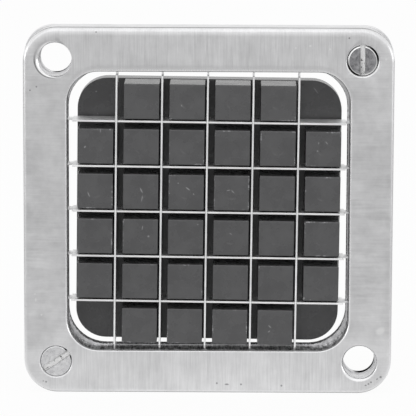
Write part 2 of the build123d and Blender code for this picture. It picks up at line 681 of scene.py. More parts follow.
@dataclass(frozen=True)
class Grain:
    """A random pattern whose grains have a real size.

    Attributes:
        x: A grain's size along X in millimetres.
        y: Its size along Y.
        z: Its size along Z.
        octaves: Octaves of finer grain.
        fineness: How strong the finer grain is.
    """

    x: float
    y: float
    z: float
    octaves: float = 2.0
    fineness: float = 0.5

    def draw(self, tree: bpy.types.NodeTree) -> bpy.types.Node:
        """Adds the pattern to a material; its value swings about one half.

        Args:
            tree: The material's node tree.

        Returns:
            The pattern.
        """
        place = add_node(tree, "ShaderNodeTexCoord").outputs["Object"]
        scale = tuple(1 / (size * MM) for size in (self.x, self.y, self.z))
        scaled = add_node(tree, "ShaderNodeMapping", {"Vector": place, "Scale": scale})
        return add_node(
            tree, "ShaderNodeTexNoise",
            {"Vector": scaled, "Scale": 1.0, "Detail": self.octaves,
             "Roughness": self.fineness},
        )


class Finish:
    """A material in the making: one principled surface and what feeds it."""

    def __init__(self, name: str, metal: bool = False, takes_painted_shade: bool = False) -> None:
        """Starts the material.

        Args:
            name: The material's name.
            metal: Whether it is bare metal.
            takes_painted_shade: Whether painted shade lies on some of it.
        """
        self.material = bpy.data.materials.new(name)
        self.tree = empty_tree(self.material)
        self.takes_painted_shade = takes_painted_shade
        self.surface = add_node(
            self.tree, "ShaderNodeBsdfPrincipled", {"Metallic": float(metal)}
        )
        add_node(
            self.tree, "ShaderNodeOutputMaterial", {"Surface": self.surface.outputs["BSDF"]}
        )

    def shade(self, pattern: bpy.types.Node, levels: tuple[float, float], dark: str,
              pale: str) -> bpy.types.Node:
        """Colours a pattern.

        Args:
            pattern: The pattern.
            levels: Its levels at which the colour is wholly dark and wholly pale.
            dark: The dark colour.
            pale: The pale colour.

        Returns:
            The colour.
        """
        share = add_node(
            self.tree, "ShaderNodeMapRange",
            {"Value": pattern, "From Min": levels[0], "From Max": levels[1]},
        )
        return add_node(
            self.tree, "ShaderNodeMix",
            {"Factor": share, "A": linear(dark), "B": linear(pale)}, data_type="RGBA",
        )

    def rub_and_highlight(self, colour: bpy.types.Node, rough: bpy.types.Node, bright: str,
            smooth: float) -> tuple[bpy.types.Node, bpy.types.Node]:
        """Brightens and smooths the rubbed places; the brightening is partly a painted
        highlight.

        Args:
            colour: The colour so far.
            rough: The roughness so far.
            bright: The colour of a rubbed place, partly a painted highlight.
            smooth: Its roughness.

        Returns:
            The colour and the roughness.
        """
        # Painted highlight and wear: the layer brightens the colour and smooths the surface.
        rubbed_and_highlit = add_node(self.tree, "ShaderNodeAttribute", attribute_name=WEAR_AND_HIGHLIGHT).outputs["Fac"]
        colour = add_node(
            self.tree, "ShaderNodeMix", {"Factor": rubbed_and_highlit, "A": colour, "B": linear(bright)},
            data_type="RGBA",
        )
        rough = add_node(self.tree, "ShaderNodeMix", {"Factor": rubbed_and_highlit, "A": rough, "B": smooth})
        return colour, rough

    def daub(self, colour: bpy.types.Node, marks: Iterable[Mark], y: float, hue: Colour,
             strength: float) -> bpy.types.Node:
        """Lays small marks over a colour.

        Args:
            colour: The colour so far.
            marks: The marks.
            y: Where the marked face lies, in millimetres along Y.
            hue: The marks' colour.
            strength: How strong they are, from nought to one.

        Returns:
            The colour with its marks.
        """
        place = add_node(self.tree, "ShaderNodeTexCoord").outputs["Object"]
        for mark in marks:
            centred = add_node(
                self.tree, "ShaderNodeMapping",
                {"Vector": place, "Location": Vector((mark.x, y, mark.z)) * MM,
                 "Rotation": (0.0, -math.radians(mark.turn), 0.0),
                 "Scale": Vector((mark.length, 1.0, mark.width)) * MM},
                vector_type="TEXTURE",
            )
            away = add_node(
                self.tree, "ShaderNodeVectorMath", {0: centred}, operation="LENGTH"
            ).outputs["Value"]
            share = add_node(
                self.tree, "ShaderNodeMapRange",
                {"Value": away, "From Min": MARK_CORE, "To Min": strength, "To Max": 0.0},
                interpolation_type="SMOOTHSTEP",
            )
            colour = add_node(
                self.tree, "ShaderNodeMix", {"Factor": share, "A": colour, "B": hue},
                data_type="RGBA",
            )
        return colour

    def close(self, colour: bpy.types.Node, rough: bpy.types.Node, height: bpy.types.Node,
              strength: float, depth: float) -> bpy.types.Material:
        """Lays any painted shade over the colour and links everything to the surface.

        Args:
            colour: The colour.
            rough: The roughness.
            height: The relief's height.
            strength: The relief's strength.
            depth: The relief's depth in millimetres.

        Returns:
            The material.
        """
        # Painted shade: the shade layer blackens the colour and turns the metal into a surface
        # without gloss.
        if self.takes_painted_shade:
            painted_shade = add_node(
                self.tree, "ShaderNodeAttribute", attribute_name=PAINTED_SHADE
            ).outputs["Fac"]
            colour = add_node(
                self.tree, "ShaderNodeMix",
                {"Factor": painted_shade, "A": colour, "B": linear(SHADE_BLACK)}, data_type="RGBA",
            )
            bare = add_node(
                self.tree, "ShaderNodeMath", {0: 1.0, 1: painted_shade}, operation="SUBTRACT"
            )
            self.tree.links.new(bare.outputs["Value"], self.surface.inputs["Metallic"])
            self.surface.inputs["Specular IOR Level"].default_value = SHADE_GLOSS
        bump = add_node(
            self.tree, "ShaderNodeBump",
            {"Height": height, "Strength": strength, "Distance": depth * MM},
        )
        for name, node in (("Base Color", colour), ("Roughness", rough), ("Normal", bump)):
            output = next(output for output in node.outputs if output.enabled)
            self.tree.links.new(output, self.surface.inputs[name])
        return self.material


@dataclass(frozen=True)
class LinishedAluminium:
    """Gravity-cast aluminium, linished across each band and then handled.

    Linishing leaves short scratches across the bands and a soft sheen, plainer down the
    sides than along the top.  Rounded edges are rubbed bright and brightened further as a
    painted highlight, and a few casting pits and small scuffs stay on the front face.  A real
    scratch is about 0.05 mm wide and the grit's marks are as fine: both are drawn coarser,
    or they wouldn't show.
    """

    name: str = "linished_cast_aluminium"
    pale: str = "#E8E8E9"
    dull: str = "#CBCBCC"
    # Colour of the rubbed edges, brightened further as a painted highlight.
    rubbed_and_highlit: str = "#F9F9FA"
    pitted: str = "#747476"
    scuffed: str = "#F6F6F6"
    roughness: float = 0.34
    rubbed_roughness: float = 0.26
    roughness_swing: float = 0.06
    turn_width: float = 4.0
    up_scratches: Grain = Grain(0.35, 0.35, 8.0, 3.0, 0.6)
    cross_scratches: Grain = Grain(7.0, 0.35, 0.35, 3.0, 0.6)
    clouds: Grain = Grain(6.0, 6.0, 6.0, 4.0, 0.6)
    grit: Grain = Grain(0.5, 0.5, 0.5)
    top_scratch_share: float = 0.55
    side_scratch_share: float = 0.25
    grit_share: float = 0.35
    relief: float = 0.4
    scratch_depth: float = 0.005
    pit_strength: float = 0.75
    scuff_strength: float = 0.5
    pits: tuple[Mark, ...] = (
        Mark(2.6, -48.8), Mark(5.4, -49.1, 0.8, 0.3), Mark(9.4, -49.1), Mark(20.8, -49.4),
        Mark(48.7, -46.8, 0.45, 0.45), Mark(47.7, -47.4, 0.4, 0.25, 45.0), Mark(46.0, -48.3),
        Mark(45.3, -48.8), Mark(44.5, -49.2, 0.4, 0.25), Mark(-47.8, 35.1, 0.3, 0.3),
        Mark(-49.6, 34.1, 0.3, 0.3), Mark(-31.2, 50.4, 0.3, 0.3), Mark(-45.5, -48.6, 0.35, 0.35),
        Mark(-46.3, -48.4, 0.25, 0.25), Mark(38.9, 49.0, 0.35, 0.35),
    )
    scuffs: tuple[Mark, ...] = (
        Mark(24.1, 46.2), Mark(28.1, 46.8, 0.5, 0.4), Mark(33.6, 45.9), Mark(49.2, 43.1),
        Mark(48.4, -33.6, 1.8, 1.3, 30.0), Mark(-48.5, -23.5), Mark(-48.3, -25.1, 0.3, 0.7),
        Mark(-46.7, -29.4),
    )

    def make(self, front_y: float) -> bpy.types.Material:
        """Builds the material.

        Args:
            front_y: Where the front face lies, in millimetres along Y.

        Returns:
            The material.
        """
        finish = Finish(self.name, metal=True, takes_painted_shade=True)
        tree = finish.tree
        place = add_node(tree, "ShaderNodeTexCoord").outputs["Object"]
        axes = add_node(tree, "ShaderNodeSeparateXYZ", {"Vector": place}).outputs
        width = add_node(tree, "ShaderNodeMath", {0: axes["X"]}, operation="ABSOLUTE")
        height = add_node(tree, "ShaderNodeMath", {0: axes["Z"]}, operation="ABSOLUTE")
        beyond = add_node(tree, "ShaderNodeMath", {0: width, 1: height}, operation="SUBTRACT")
        on_side = add_node(
            tree, "ShaderNodeMapRange",
            {"Value": beyond, "From Min": -self.turn_width * MM,
             "From Max": self.turn_width * MM},
        )
        scratches = add_node(
            tree, "ShaderNodeMix",
            {"Factor": on_side, "A": self.up_scratches.draw(tree),
             "B": self.cross_scratches.draw(tree)},
        )
        scratch_share = add_node(
            tree, "ShaderNodeMapRange",
            {"Value": on_side, "To Min": self.top_scratch_share,
             "To Max": self.side_scratch_share},
        )
        tone = add_node(
            tree, "ShaderNodeMix",
            {"Factor": scratch_share, "A": self.clouds.draw(tree), "B": scratches},
        )
        colour = finish.shade(tone, (NOISE_LOW, NOISE_HIGH), self.dull, self.pale)
        for marks, hue, strength in (
            (self.pits, self.pitted, self.pit_strength),
            (self.scuffs, self.scuffed, self.scuff_strength),
        ):
            colour = finish.daub(colour, marks, front_y, linear(hue), strength)
        rough = add_node(
            tree, "ShaderNodeMapRange",
            {"Value": scratches, "From Min": NOISE_LOW, "From Max": NOISE_HIGH,
             "To Min": self.roughness - self.roughness_swing,
             "To Max": self.roughness + self.roughness_swing},
        )
        colour, rough = finish.rub_and_highlight(colour, rough, self.rubbed_and_highlit, self.rubbed_roughness)
        relief = add_node(
            tree, "ShaderNodeMath", {0: self.grit.draw(tree), 1: self.grit_share, 2: scratches},
            operation="MULTIPLY_ADD",
        )
        return finish.close(colour, rough, relief, self.relief, self.scratch_depth)


@dataclass(frozen=True)
class Mottled:
    """A metal surface left as it came: patches, specks and a grainy feel.

    Attributes:
        name: The material's name.
        pale: Its palest patches.
        dark: Its darkest patches.
        roughness: Its middle roughness.
        patches: The patches' grain.
        specks: The specks' grain.
        relief_depth: Depth of the grain in millimetres.
        levels: Levels of the pattern at which it is wholly dark and wholly pale.
        takes_painted_shade: Whether painted shade lies on some of it.
        swing: How far the roughness goes to each side of its middle.
        relief: Strength of the grain's relief.
    """

    name: str
    pale: str
    dark: str
    roughness: float
    patches: Grain
    specks: Grain
    relief_depth: float
    levels: tuple[float, float] = (0.36, 0.64)
    takes_painted_shade: bool = False
    swing: float = 0.08
    relief: float = 0.6

    def make(self) -> bpy.types.Material:
        """Builds the material.

        Returns:
            The material.
        """
        finish = Finish(self.name, metal=True, takes_painted_shade=self.takes_painted_shade)
        tree = finish.tree
        specks = self.specks.draw(tree)
        tone = add_node(
            tree, "ShaderNodeMix", {"Factor": 0.5, "A": self.patches.draw(tree), "B": specks}
        )
        colour = finish.shade(tone, self.levels, self.dark, self.pale)
        rough = add_node(
            tree, "ShaderNodeMapRange",
            {"Value": specks, "From Min": NOISE_LOW, "From Max": NOISE_HIGH,
             "To Min": self.roughness - self.swing, "To Max": self.roughness + self.swing},
        )
        return finish.close(colour, rough, specks, self.relief, self.relief_depth)


# Gravity-cast skin that no tool has touched: dark and pale flow lines and a rough grain.
CAST_SKIN = Mottled(
    "as_cast_aluminium_skin", "#ECECED", "#515153", 0.42,
    Grain(1.0, 4.0, 1.0, 3.0), Grain(0.5, 1.6, 0.5, 3.0, 0.6), 0.06, (0.42, 0.58),
    takes_painted_shade=True,
)
# Stud holes, cored and then reamed: pale, with a faint mottle.
REAMED_BORE = Mottled(
    "reamed_aluminium_bore", "#EDEDEE", "#B9B9BB", 0.38,
    Grain(1.2, 1.2, 1.2, 3.0), Grain(0.4, 0.4, 0.4, 3.0, 0.6), 0.03, takes_painted_shade=True,
)
# Steel in a screw's slot: rubbed bright by screwdrivers, with black specks of grease.
RUBBED_SLOT = Mottled(
    "rubbed_slot_steel", "#FBFBFB", "#1C1C1D", 0.5,
    Grain(1.1, 1.1, 1.1, 2.0), Grain(0.5, 0.5, 0.5, 2.0), 0.03, (0.35, 0.42),
    takes_painted_shade=True,
)
# Stainless strip, ground along its length and deburred: bright, with faint stains.  The
# grinding marks are drawn a few times as coarse as they are, or they wouldn't show.
GROUND_STEEL = Mottled(
    "ground_stainless_strip", "#FCFCFC", "#F0F0F1", 0.42,
    Grain(2.2, 2.2, 2.2, 3.0), Grain(6.0, 0.12, 6.0), 0.003,
)
# Free-cutting brass, turned and a little tarnished.
MACHINED_BRASS = Mottled(
    "machined_brass", "#D9B66C", "#A98545", 0.3,
    Grain(1.2, 1.2, 1.2, 3.0), Grain(0.3, 0.3, 0.3), 0.01,
)


@dataclass(frozen=True)
class TurnedSteel:
    """Zinc-plated steel, faced on a lathe: fine rings, smears and a rubbed rim with a painted
    highlight.

    Attributes:
        name: The material's name.
        x: The screw's axis across, in millimetres.
        z: The screw's axis up.
        pale: Where the plating is clean.
        dull: Where it is stained.
        rubbed_and_highlit: The rim and the slot's burrs, rubbed bright and brightened further as
            a painted highlight.
        roughness: Its middle roughness.
        rubbed_roughness: Roughness of the rim and the burrs.
        roughness_swing: How much smoother and rougher its smears are.
        ring_width: Spacing of the tool's rings, drawn about three times as wide as it is.
        ring_octaves: Octaves of finer rings.
        ring_share: How much the rings show beside the smears.
        ring_relief: Strength of the rings' relief.
        ring_depth: Their depth in millimetres.
        levels: Levels of the pattern at which it is wholly dull and wholly pale.
        smears: The stains' grain.
    """

    name: str
    x: float
    z: float
    pale: str
    dull: str
    rubbed_and_highlit: str = "#F2F2F2"
    roughness: float = 0.3
    rubbed_roughness: float = 0.2
    roughness_swing: tuple[float, float] = (0.08, 0.12)
    ring_width: float = 0.35
    ring_octaves: float = 2.0
    ring_share: float = 0.3
    ring_relief: float = 0.4
    ring_depth: float = 0.01
    levels: tuple[float, float] = (0.38, 0.62)
    smears: Grain = Grain(1.4, 1.4, 1.4, 4.0, 0.65)

    def make(self) -> bpy.types.Material:
        """Builds the material.

        Returns:
            The material.
        """
        finish = Finish(self.name, metal=True, takes_painted_shade=True)
        tree = finish.tree
        place = add_node(tree, "ShaderNodeTexCoord").outputs["Object"]
        centred = add_node(
            tree, "ShaderNodeMapping",
            {"Vector": place, "Location": (-self.x * MM, 0.0, -self.z * MM),
             "Scale": (1.0, 0.0, 1.0)},
        )
        radius = add_node(
            tree, "ShaderNodeVectorMath", {0: centred}, operation="LENGTH"
        ).outputs["Value"]
        turns = add_node(
            tree, "ShaderNodeMath", {0: radius, 1: self.ring_width * MM}, operation="DIVIDE"
        )
        rings = add_node(
            tree, "ShaderNodeTexNoise", {"W": turns, "Scale": 1.0, "Detail": self.ring_octaves},
            noise_dimensions="1D",
        )
        smears = self.smears.draw(tree)
        tone = add_node(
            tree, "ShaderNodeMix", {"Factor": self.ring_share, "A": smears, "B": rings}
        )
        colour = finish.shade(tone, self.levels, self.dull, self.pale)
        rough = add_node(
            tree, "ShaderNodeMapRange",
            {"Value": smears, "From Min": NOISE_LOW, "From Max": NOISE_HIGH,
             "To Min": self.roughness - self.roughness_swing[0],
             "To Max": self.roughness + self.roughness_swing[1]},
        )
        colour, rough = finish.rub_and_highlight(colour, rough, self.rubbed_and_highlit, self.rubbed_roughness)
        return finish.close(colour, rough, rings, self.ring_relief, self.ring_depth)


@dataclass(frozen=True)
class MouldedPolyamide:
    """Carbon-black polyamide from a spark-eroded mould: an even satin grey-black.

    Its sharp edges are chipped to pale specks here and there, and a few short scratches
    and nicks show pale on the fingers' ends and on the bare corners of the plate.  The
    mould's spark texture is drawn a few times as coarse as it is, or it wouldn't show.
    """

    name: str = "moulded_black_polyamide"
    black: str = "#4D4D4E"
    cloudy: str = "#555556"
    chipped: str = "#A4A4A6"
    scratched: str = "#A6A6A7"
    roughness: float = 0.27
    roughness_swing: tuple[float, float] = (0.03, 0.04)
    clouds: Grain = Grain(5.0, 5.0, 5.0, 4.0, 0.6)
    cloud_levels: tuple[float, float] = (0.35, 0.65)
    texture: Grain = Grain(0.3, 0.3, 0.3)
    texture_relief: float = 0.25
    texture_depth: float = 0.01
    chips: Grain = Grain(0.4, 0.4, 0.4, 2.0)
    chip_levels: tuple[float, float] = (0.5, 0.6)
    chip_patches: Grain = Grain(7.0, 7.0, 7.0, 2.0)
    chip_patch_levels: tuple[float, float] = (0.57, 0.68)
    scratch_strength: float = 0.7
    tip_scratches: tuple[Mark, ...] = (
        Mark(-34.4, 18.2, 0.45, 0.25, 50.0), Mark(-30.1, 22.7, 0.6, 0.14, 90.0),
        Mark(-27.4, 23.1, 0.3, 0.2, 90.0), Mark(-18.7, 6.0, 1.1, 0.2, -64.0),
        Mark(-18.5, 3.7, 1.2, 0.14, 80.0), Mark(-33.4, 4.8, 1.0, 0.16, -67.0),
        Mark(-5.7, 6.5, 0.9, 0.22, -37.0), Mark(-4.1, 5.0, 0.35, 0.15, -56.0),
        Mark(-8.4, 8.1, 0.25, 0.18), Mark(-7.5, 29.9, 0.4, 0.14, -60.0),
        Mark(5.6, 6.1, 0.7, 0.14, 12.0), Mark(6.9, 5.7, 0.8, 0.16, -45.0),
        Mark(30.7, 19.5, 0.4, 0.16, 80.0), Mark(30.4, 17.3, 0.3, 0.25),
        Mark(32.9, 19.6, 0.7, 0.14, -53.0), Mark(-18.4, -4.6, 0.8, 0.14, 80.0),
        Mark(-16.7, -7.0, 0.35, 0.3), Mark(-2.9, -3.6, 0.25, 0.2),
        Mark(6.3, -6.2, 0.5, 0.14, -34.0), Mark(17.4, -32.6, 0.7, 0.2, -45.0),
        Mark(17.2, -34.0, 0.5, 0.2, 40.0), Mark(28.7, -25.0, 0.5, 0.14, 75.0),
        Mark(26.9, -24.5, 0.5, 0.3, 60.0),
    )
    plate_scratches: tuple[Mark, ...] = (
        Mark(30.1, 32.8, 1.4, 0.14, -53.0), Mark(-31.7, 32.3, 0.3, 0.25),
        Mark(-31.3, 26.0, 0.3, 0.15, -45.0), Mark(26.4, 23.7, 0.3, 0.16),
    )

    def make(self, tip_y: float, plate_y: float) -> bpy.types.Material:
        """Builds the material.

        Args:
            tip_y: Where the fingers' ends lie, in millimetres along Y.
            plate_y: Where the plate's front lies.

        Returns:
            The material.
        """
        finish = Finish(self.name)
        tree = finish.tree
        clouds = self.clouds.draw(tree)
        colour = finish.shade(clouds, self.cloud_levels, self.black, self.cloudy)
        for marks, y in ((self.tip_scratches, tip_y), (self.plate_scratches, plate_y)):
            colour = finish.daub(
                colour, marks, y, linear(self.scratched), self.scratch_strength
            )
        chipped = add_node(tree, "ShaderNodeAttribute", attribute_name=WEAR_AND_HIGHLIGHT).outputs["Fac"]
        for grain, levels in (
            (self.chips, self.chip_levels), (self.chip_patches, self.chip_patch_levels),
        ):
            share = add_node(
                tree, "ShaderNodeMapRange",
                {"Value": grain.draw(tree), "From Min": levels[0], "From Max": levels[1]},
            )
            chipped = add_node(
                tree, "ShaderNodeMath", {0: chipped, 1: share}, operation="MULTIPLY"
            )
        colour = add_node(
            tree, "ShaderNodeMix",
            {"Factor": chipped, "A": colour, "B": linear(self.chipped)}, data_type="RGBA",
        )
        rough = add_node(
            tree, "ShaderNodeMapRange",
            {"Value": clouds, "From Min": NOISE_LOW, "From Max": NOISE_HIGH,
             "To Min": self.roughness - self.roughness_swing[0],
             "To Max": self.roughness + self.roughness_swing[1]},
        )
        return finish.close(
            colour, rough, self.texture.draw(tree), self.texture_relief, self.texture_depth
        )


# ------------------------------------------------------------------------- sub-assemblies


@dataclass(frozen=True)
class ScrewHead:
    """One clamping screw; lengths in millimetres, angles in degrees from X towards Z.

    Attributes:
        node: The CAD node that it stands for.
        side: Its corner: 1 for the upper right, -1 for the lower left.
        slot_angle: How its slot is turned.
        radius: The head's radius.
        edge: Width of the rounding round the head.
        shine: How bright that rounding is made, as rubbed wear and painted highlight.
        pale: Tone of the head where it is clean.
        dull: Tone where it is stained.
        slot_shade_line: How dark the painted shade along the slot's burrs is.
        shaded_sides: Where painted shade lies in the gap against the recess.
        shade_reach: How far it goes to each side.
    """

    node: str
    side: int
    slot_angle: float
    radius: float
    edge: float
    shine: float
    pale: str
    dull: str
    slot_shade_line: float
    shaded_sides: tuple[float, ...]
    shade_reach: float


@dataclass(frozen=True)
class StudHole:
    """One open stud hole; lengths in millimetres, angles in degrees from X towards Z.

    Attributes:
        side: Its corner: -1 for the upper left, 1 for the lower right.
        lip_radius: Radius of the worn lip on the front face.
        lip_x: How far the lip's middle lies to the right of the hole's.
        lip_z: How far above it.
        lip_drop: Depth of the lip.
        shade_line_side: Where a fine line of painted shade lies round the lip.
        line: How dark that line is.
        shaded_side: Where painted shade lies at the hole's far end.
        shade_reach: How far it goes to each side.
    """

    side: int
    lip_radius: float
    lip_x: float
    lip_z: float
    lip_drop: float
    shade_line_side: float
    line: float
    shaded_side: float
    shade_reach: float


@dataclass
class BladeFrame:
    """The two clamped rings with their blades and screws; lengths in millimetres."""

    measures: Measures
    corner_steps: int = 14
    corner_radius: float = 9.4
    outer_fade: float = 1.2
    outer_fade_drop: float = 0.06
    outer_fade_sweep: float = 30.0
    outer_bevel: float = 1.1
    outer_bevel_drop: float = 0.9
    outer_bevel_sweep: float = 72.0
    outer_bevel_steps: int = 8
    # Along the top, the outer bevel's painted highlight is cut back; along the bottom, painted
    # shade darkens it, and a band of painted shade lies on the walls just behind it.
    outer_top_highlight_cut: float = 0.9
    outer_bottom_shade: float = 0.9
    outer_bottom_narrowing: int = 4
    outer_shade_line_width: float = 1.3
    outer_shade_line_parts: tuple[tuple[float, float], ...] = ((0.15, 0.9), (0.7, 0.9), (0.15, 0.0))
    opening_steps: int = 12
    opening_half: float = 39.35
    opening_radius: float = 8.75
    opening_bevel: float = 0.6
    opening_bevel_top: float = 1.3
    opening_bevel_bottom: float = -0.3
    opening_bevel_drop: float = 0.28
    opening_bevel_sweep: float = 40.0
    opening_line: float = 0.2
    opening_line_drop: float = 0.3
    # Painted shade in the crease where the opening's rounding meets its wall.
    opening_line_shade: tuple[float, float] = (0.85, 0.255)
    seam_break: float = 0.15
    rear_break: float = 0.4
    rear_corner_radius: float = 8.2
    rear_opening_half: float = 39.1
    rear_opening_radius: float = 10.5
    rear_opening_x: float = -0.22
    rear_opening_z: float = 0.2
    lead_in: float = 0.3
    # Painted shade along one side of each stud bore's far end, and a line of it inside each lip.
    shade_start: float = 0.3
    shade_fullness: float = 3.0
    lip_line_reach: float = 80.0
    lip_line_fullness: float = 2.0
    recess_lip: float = 0.5
    recess_lip_steps: int = 4
    # How far the recesses' lips are brightened, as wear and painted highlight.
    recess_shine: float = 0.3
    recess_radius: float = 4.33
    recess_depth: float = 3.5
    screw_bore: float = 2.75
    tab_setback: float = 3.6
    slot_clearance: float = 0.05
    wall_margin: float = 1.5
    blade_edge_round: float = 0.21
    blade_edge_steps: int = 3
    blade_edge_angle: float = 50.0
    head_points: int = 96
    head_edge_steps: int = 5
    head_inset: float = 0.2
    # Width and fade of the painted shade in the gap round each screw head.
    head_shade_width: float = 0.45
    head_shade_fullness: float = 2.0
    slot_width: float = 1.6
    slot_depth: float = 1.3
    slot_burr: float = 0.22
    shank_radius: float = 2.5
    shank_chamfer: float = 0.45
    shank_inset: float = 0.2
    tapped_clearance: float = 0.03
    screws: tuple[ScrewHead, ...] = (
        ScrewHead("upper_frame_screw", 1, 90.0, 4.25, 0.6, 1.0, "#ABABAD", "#77777A",
                  0.2, (30.0, 225.0), 50.0),
        ScrewHead("lower_frame_screw", -1, 34.0, 4.28, 0.3, 0.3, "#E4E4E5", "#C4C4C6",
                  1.0, (49.0, 15.0), 9.0),
    )
    studs: tuple[StudHole, ...] = (
        StudHole(-1, 5.4, -0.65, 0.0, 0.6, 225.0, 0.9, -60.0, 45.0),
        StudHole(1, 5.35, -0.15, -0.2, 0.6, 0.0, 0.0, -50.0, 62.0),
    )
    aluminium: LinishedAluminium = field(default_factory=LinishedAluminium)

    def build(self) -> None:
        """Makes the rings and screws and dresses the blades."""
        linished = self.aluminium.make(self.measures.front_y)
        skins = [linished, CAST_SKIN.make(), REAMED_BORE.make()]
        self.front_ring(skins)
        self.rear_ring(skins)
        self.blades(GROUND_STEEL.make())
        slot = RUBBED_SLOT.make()
        for head in self.screws:
            self.screw(head, slot)

    def front_ring(self, skins: list[bpy.types.Material]) -> None:
        """Makes the front ring: rounded edges, lipped holes, screw recesses, blade slots.

        Args:
            skins: Its linished, its as-cast and its reamed material.
        """
        seam = self.measures.seam_depth
        half, offset = self.measures.frame_half, self.measures.hole_offset
        work = Workpiece()
        outer = work.rounded_square(
            half, half, self.corner_radius, 0.0, steps=self.corner_steps
        )
        work.push(outer, -self.outer_bevel - self.outer_fade)
        opening = work.rounded_square(
            self.opening_half, self.opening_half, self.opening_radius, 0.0,
            steps=self.opening_steps, cuts=self.slot_cuts(),
        )
        work.push(opening, lambda way: self.opening_width(way) + self.opening_line)
        lips = [
            work.circle(stud.lip_radius, 0.0, stud.side * offset + stud.lip_x,
                        -stud.side * offset + stud.lip_z)
            for stud in self.studs
        ]
        recess_rim = self.recess_radius + self.recess_lip
        recesses = [work.circle(recess_rim, 0.0, x, x) for x in (-offset, offset)]
        work.fill(outer, opening, *lips, *recesses)

        outer = work.round_over(
            outer, self.outer_fade, self.outer_fade_drop, self.outer_fade_sweep, shine=0.0
        )
        # The bevel is brightened as wear and painted highlight, less along the top; painted
        # shade darkens it along the bottom.
        outer = work.round_over(
            outer, self.outer_bevel, self.outer_bevel_drop, self.outer_bevel_sweep,
            self.outer_bevel_steps,
            shine=lambda way: 1.0 - self.outer_top_highlight_cut * max(0.0, way.z),
            painted_shade=lambda way: (
                self.outer_bottom_shade * max(0.0, -way.z) ** self.outer_bottom_narrowing
            ),
        )
        # A band of painted shade on the walls just behind the bevel.
        for part, painted_shade in self.outer_shade_line_parts:
            outer = work.grow(outer, 0.0, self.outer_shade_line_width * part)
            work.mark(outer, work.painted_shade, painted_shade)
        edge = self.outer_fade_drop + self.outer_bevel_drop + self.outer_shade_line_width
        outer = work.grow(outer, 0.0, seam - edge - self.seam_break)
        outer = work.grow(outer, -self.seam_break, self.seam_break)
        # The opening's rounding is brightened as wear and painted highlight.
        opening = work.round_over(
            opening, scaled(self.opening_width, -1.0), self.opening_bevel_drop,
            self.opening_bevel_sweep,
        )
        # Painted shade in the crease at the end of the rounding.
        for painted_shade in self.opening_line_shade:
            opening = work.grow(opening, -self.opening_line / 2, self.opening_line_drop / 2)
            work.mark(opening, work.painted_shade, painted_shade)
        slot_start = self.tab_setback - self.slot_clearance
        work.skin = 1
        edge = self.opening_bevel_drop + self.opening_line_drop
        opening = work.grow(opening, 0.0, slot_start - edge)
        opening = work.grow(opening, 0.0, seam - self.seam_break - slot_start)
        opening = work.grow(opening, self.seam_break, self.seam_break)
        for stud, lip in zip(self.studs, lips):
            work.skin = 0
            x = stud.side * offset
            # The lip is brightened as wear and painted highlight, with a line of painted shade
            # on one side.
            mouth = work.funnel(
                lip, x, -x, self.measures.stud_radius + self.lead_in, stud.lip_drop,
                lambda way, stud=stud: stud.line * nearness(
                    way, (stud.shade_line_side,), self.lip_line_reach, self.lip_line_fullness
                ),
            )
            work.skin = 2
            work.grow(mouth, 0.0, seam - stud.lip_drop)
        for recess in recesses:
            work.skin = 0
            recess = work.round_over(
                recess, -self.recess_lip, self.recess_lip, steps=self.recess_lip_steps,
                shine=self.recess_shine,
            )
            work.skin = 1
            recess = work.grow(recess, 0.0, self.recess_depth - self.recess_lip)
            recess = work.grow(recess, self.screw_bore - self.recess_radius)
            work.grow(recess, 0.0, seam - self.recess_depth)
        self.sink_slots(work, slot_start)
        work.skin = 0
        work.fill_edges([edge for edge in work.mesh.edges if edge.is_boundary])
        work.finish(
            "front_ring_casting", self.measures.square_placing(), Body.FRAME,
            "frame_aluminium", skins, "front_ring",
        )

    def opening_width(self, way: Vector) -> float:
        """The width of the opening's rounding: wide along the top, narrow below."""
        change = self.opening_bevel_top if way.z > 0 else self.opening_bevel_bottom
        return self.opening_bevel + change * abs(way.z)

    def grid_axes(self) -> tuple[Vector, Vector, Vector]:
        """Places the grid of blades.

        Returns:
            Its middle, its direction across and its direction up.
        """
        turn = Matrix.Rotation(self.measures.grid_turn, 3, "Y")
        middle = Vector((self.measures.grid_x, 0.0, self.measures.grid_z))
        return middle, turn @ Vector((1, 0, 0)), turn @ Vector((0, 0, 1))

    def slot_cuts(self) -> list[tuple[Vector, Vector]]:
        """Places planes along both walls of every blade slot, upright and level.

        Returns:
            The planes, as a place and a normal.
        """
        middle, across, up = self.grid_axes()
        half = self.measures.blade_thickness / 2 + self.slot_clearance
        return [
            (middle + way * (offset + side * half), way)
            for way in (across, up)
            for offset in self.measures.blade_offsets()
            for side in (-1, 1)
        ]

    def sink_slots(self, work: Workpiece, slot_start: float) -> None:
        """Sinks the blade slots into the opening's wall, behind where the tabs start.

        Args:
            work: The ring, with its wall drawn.
            slot_start: Depth of the slots' front ends.
        """
        middle, across, up = self.grid_axes()
        half = self.measures.blade_thickness / 2 + self.slot_clearance
        length = self.measures.tab_seat_length + self.slot_clearance - self.opening_half
        inner = self.opening_half - self.measures.cut_pitch
        outer = self.opening_half + self.wall_margin
        for along, over in ((up, across), (across, up)):
            for side in (-1, 1):
                strips = []
                for face in work.mesh.faces:
                    place = face.calc_center_median()
                    offset = (place - middle).dot(over)
                    if (
                        place.y > slot_start
                        and inner < side * (place - middle).dot(along) < outer
                        and any(abs(offset - o) < half for o in self.measures.blade_offsets())
                    ):
                        strips.append(face)
                made = bmesh.ops.extrude_face_region(work.mesh, geom=strips)["geom"]
                verts = [item for item in made if isinstance(item, bmesh.types.BMVert)]
                bmesh.ops.translate(work.mesh, vec=along * side * length, verts=verts)
                bmesh.ops.delete(work.mesh, geom=[f for f in strips if f.is_valid],
                                 context="FACES")
        lids = [
            face for face in work.mesh.faces
            if all(abs(vert.co.y - self.measures.seam_depth) < TOUCH for vert in face.verts)
        ]
        bmesh.ops.delete(work.mesh, geom=lids, context="FACES")

